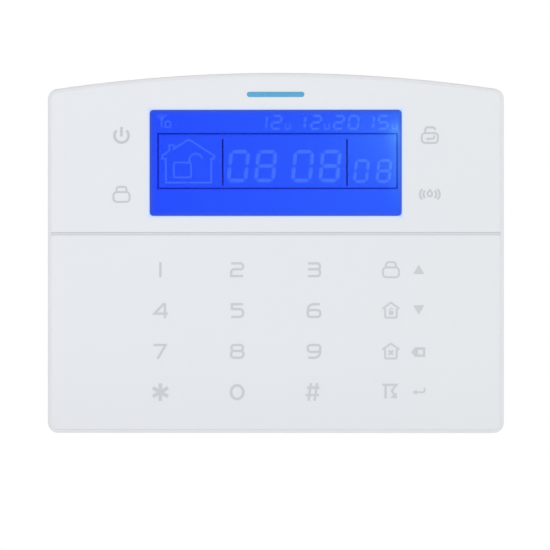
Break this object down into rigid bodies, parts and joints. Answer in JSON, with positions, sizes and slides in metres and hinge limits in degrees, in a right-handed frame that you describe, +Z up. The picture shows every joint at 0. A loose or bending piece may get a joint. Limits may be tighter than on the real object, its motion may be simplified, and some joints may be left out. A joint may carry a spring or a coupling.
{
  "type": "alarm keypad panel",
  "caption": "Wall-hung touch keypad panel for an intruder alarm: arched white case, wide blue LCD above a seam, touch keys below, battery door and bracket behind.",
  "frame": {"origin": "centre of the wall screw pattern in the plane of the wall, behind the centre of the panel", "axes": "+X to the right as seen from the front, +Y into the wall, +Z up; the front faces -Y"},
  "size_m": [0.19, 0.0301, 0.15],
  "materials": {
    "housing_plastic": "fine satin",
    "fascia_gloss": "gloss",
    "adhesive_tape": "matt",
    "window_glass": "clear, polished",
    "accent_ink": "printed",
    "legend_ink": "printed",
    "lcd_cell": "backlit",
    "lcd_segment": "backlit",
    "lcd_line": "printed",
    "inner_plastic": "moulded",
    "light_guide": "polished",
    "led": "moulded",
    "contact_rubber": "matt",
    "contact_rubber_black": "matt",
    "circuit_board": "solder mask",
    "chip": "moulded",
    "plated_steel": "plated",
    "ribbon": "flexible",
    "capacitor_sleeve": "shrink sleeve",
    "relay_blue": "moulded",
    "module_blue": "solder mask",
    "brass_wire": "bright",
    "terminal_green": "moulded",
    "black_plastic": "moulded",
    "plunger_red": "moulded",
    "speaker_paper": "paper",
    "battery_wrap": "shrink wrap",
    "label_paper": "paper"
  },
  "bodies": {
    "bracket": {"wall_bracket": "housing_plastic"},
    "panel": {"rear_housing": "housing_plastic", "front_housing": "housing_plastic", "upper_fascia": "fascia_gloss", "lower_fascia": "fascia_gloss", "upper_fascia_tape": "adhesive_tape", "lower_fascia_tape": "adhesive_tape", "display_window": "window_glass", "accent_mark": "accent_ink", "indicator_legends": "legend_ink", "key_legends": "legend_ink", "lcd_glass": "lcd_cell", "lcd_segments": "lcd_segment", "lcd_guide_lines": "lcd_line", "lcd_holder": "inner_plastic", "backlight_guide": "light_guide", "backlight_leds": "led", "reflector_film": "adhesive_tape", "lcd_contact_strips": "contact_rubber", "keypad_board": "circuit_board", "keypad_board_chips": "chip", "touch_springs": "plated_steel", "key_leds": "led", "indicator_light_pipes": "light_guide", "ribbon_cable": "ribbon", "ribbon_sockets": "inner_plastic", "main_board": "circuit_board", "main_board_chips": "chip", "capacitors": "capacitor_sleeve", "siren_relay": "relay_blue", "phone_module": "plated_steel", "sim_holder": "plated_steel", "radio_module": "module_blue", "radio_antenna": "brass_wire", "terminal_block": "terminal_green", "terminal_screws": "plated_steel", "dc_jack": "black_plastic", "power_switch_body": "plated_steel", "tamper_switch_body": "black_plastic", "tamper_spring": "plated_steel", "speaker_frame": "plated_steel", "speaker_cone": "speaker_paper", "microphone": "plated_steel", "microphone_boot": "contact_rubber_black", "battery_pack": "battery_wrap", "battery_hinge_pin": "plated_steel", "rating_label": "label_paper", "case_screws": "plated_steel", "keypad_board_screws": "plated_steel", "main_board_screws": "plated_steel"},
    "switch_slider": {"power_switch_slider": "black_plastic"},
    "plunger": {"tamper_plunger": "plunger_red"},
    "door": {"battery_door": "housing_plastic"}
  },
  "joints": [
    {"name": "panel_lift", "type": "slide", "parent": "bracket", "child": "panel", "axis": [0, 0, 1], "range_m": [0, 0.008]},
    {"name": "power_switch", "type": "slide", "parent": "panel", "child": "switch_slider", "axis": [0, 0, 1], "range_m": [0, 0.003]},
    {"name": "tamper_travel", "type": "slide", "parent": "panel", "child": "plunger", "axis": [0, 1, 0], "range_m": [-0.0015, 0.0017], "stiffness_N_per_m": 300, "deforming": ["tamper_spring"]},
    {"name": "battery_door_hinge", "type": "hinge", "parent": "panel", "child": "door", "pos_m": [-0.07, -0.00425, 0.0352], "axis": [1, 0, 0], "range_deg": [0, 80]}
  ]
}
